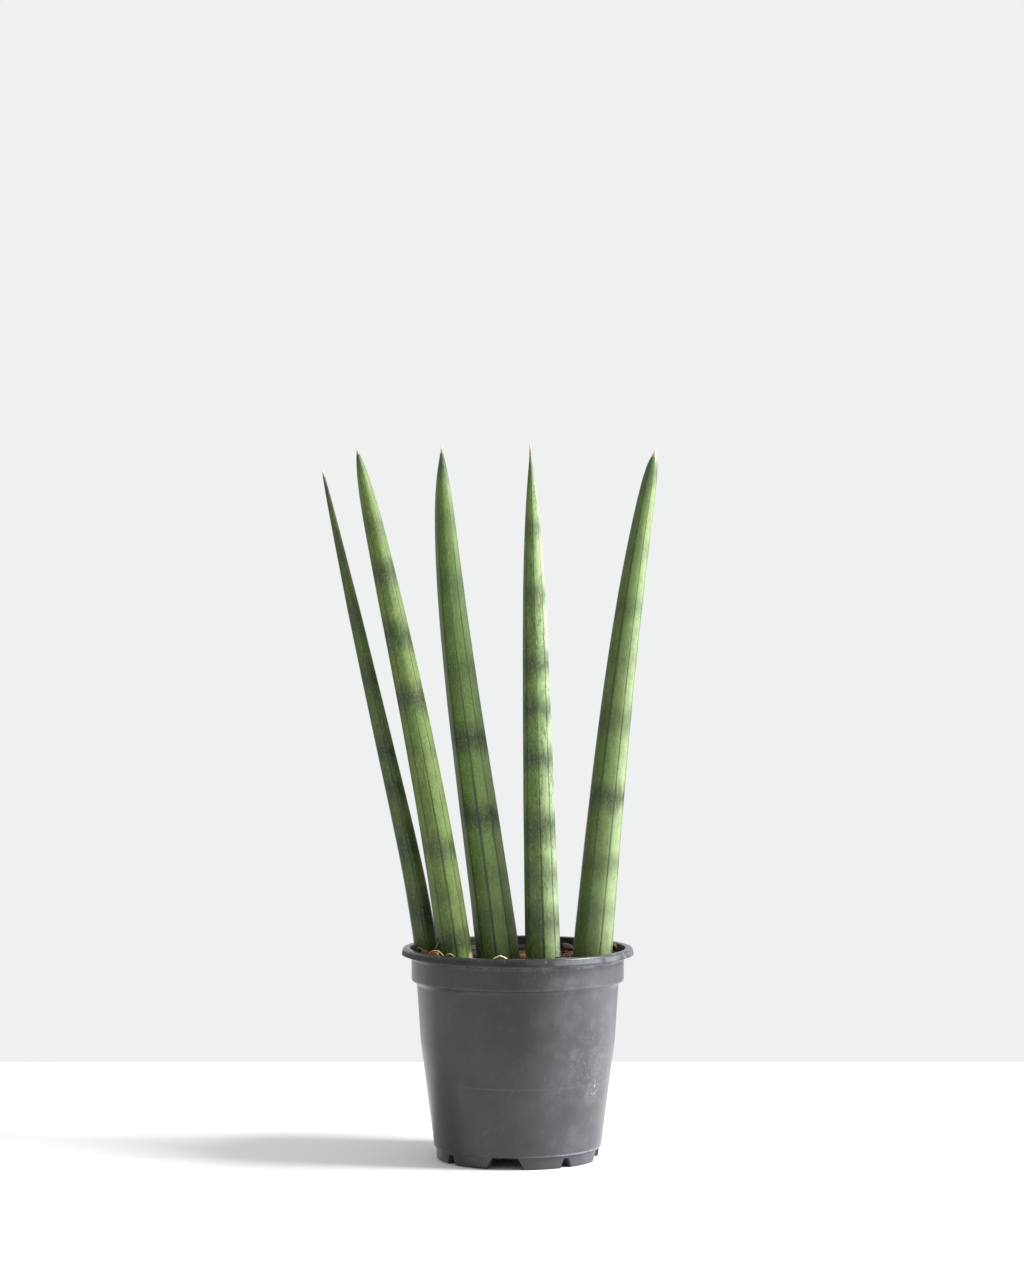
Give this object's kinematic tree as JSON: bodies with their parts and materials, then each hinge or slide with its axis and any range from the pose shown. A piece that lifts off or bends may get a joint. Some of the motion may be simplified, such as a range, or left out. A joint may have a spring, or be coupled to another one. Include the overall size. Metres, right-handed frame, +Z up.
{
  "type": "potted snake plant",
  "caption": "Round-leaved snake plant: tall tapering spear leaves fan up in a row from potting mix in a dark plastic nursery pot with a rolled lip and notched foot.",
  "frame": {"origin": "middle of the whole plant's width and depth, on the surface the pot stands on; the pot's axis is 12.9 mm from it towards +X, because the leaves lean further the other way", "axes": "+Z up along the pot's axis, +X to the right seen from the front, -Y towards the viewer; the leaves stand in a row along X"},
  "size_m": [0.1562, 0.108, 0.3315],
  "materials": {
    "pot_plastic": "satin",
    "potting_mix": "matte",
    "root": "matte",
    "leaf_1": "satin",
    "leaf_2": "satin",
    "leaf_3": "satin",
    "leaf_4": "satin",
    "leaf_5": "satin",
    "bark": "matte",
    "husk": "matte"
  },
  "bodies": {
    "root": {"pot": "pot_plastic", "soil": "potting_mix", "rootstock": "root", "leaf_1": "leaf_1", "leaf_2": "leaf_2", "leaf_3": "leaf_3", "leaf_4": "leaf_4", "leaf_5": "leaf_5", "bark_chip_1": "bark", "bark_chip_2": "bark", "bark_chip_3": "bark", "bark_chip_4": "bark", "bark_chip_5": "bark", "bark_chip_6": "bark", "bark_chip_7": "bark", "bark_chip_8": "bark", "bark_chip_9": "bark", "bark_chip_10": "bark", "bark_chip_11": "bark", "bark_chip_12": "bark", "bark_chip_13": "bark", "dry_husk": "husk"}
  },
  "joints": []
}
